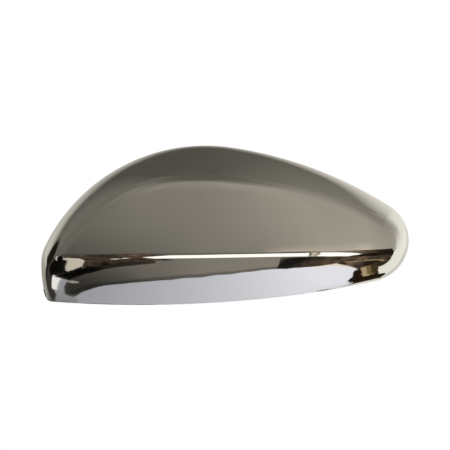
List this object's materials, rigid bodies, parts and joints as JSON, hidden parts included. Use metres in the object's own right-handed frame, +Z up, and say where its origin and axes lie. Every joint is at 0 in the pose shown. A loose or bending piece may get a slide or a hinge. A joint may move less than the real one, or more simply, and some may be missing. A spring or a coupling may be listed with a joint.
{
  "type": "wing mirror cover",
  "caption": "Chrome-plated clip-on cover for the front of a car's wing mirror: a creased teardrop shell, open at the back and underneath, with locating pegs and snap hooks inside.",
  "frame": {"origin": "midway between the ends of the two locating pegs, in the plane of the back rim", "axes": "+X along the cover towards its narrow nose, +Z up as on the car, +Y backwards out of the open back; the show face looks along -Y"},
  "size_m": [0.24, 0.0618, 0.1028],
  "materials": {
    "chrome_plating": "polished chrome plating on moulded plastic"
  },
  "bodies": {
    "root": {"mirror_cover": "chrome_plating"}
  },
  "joints": []
}
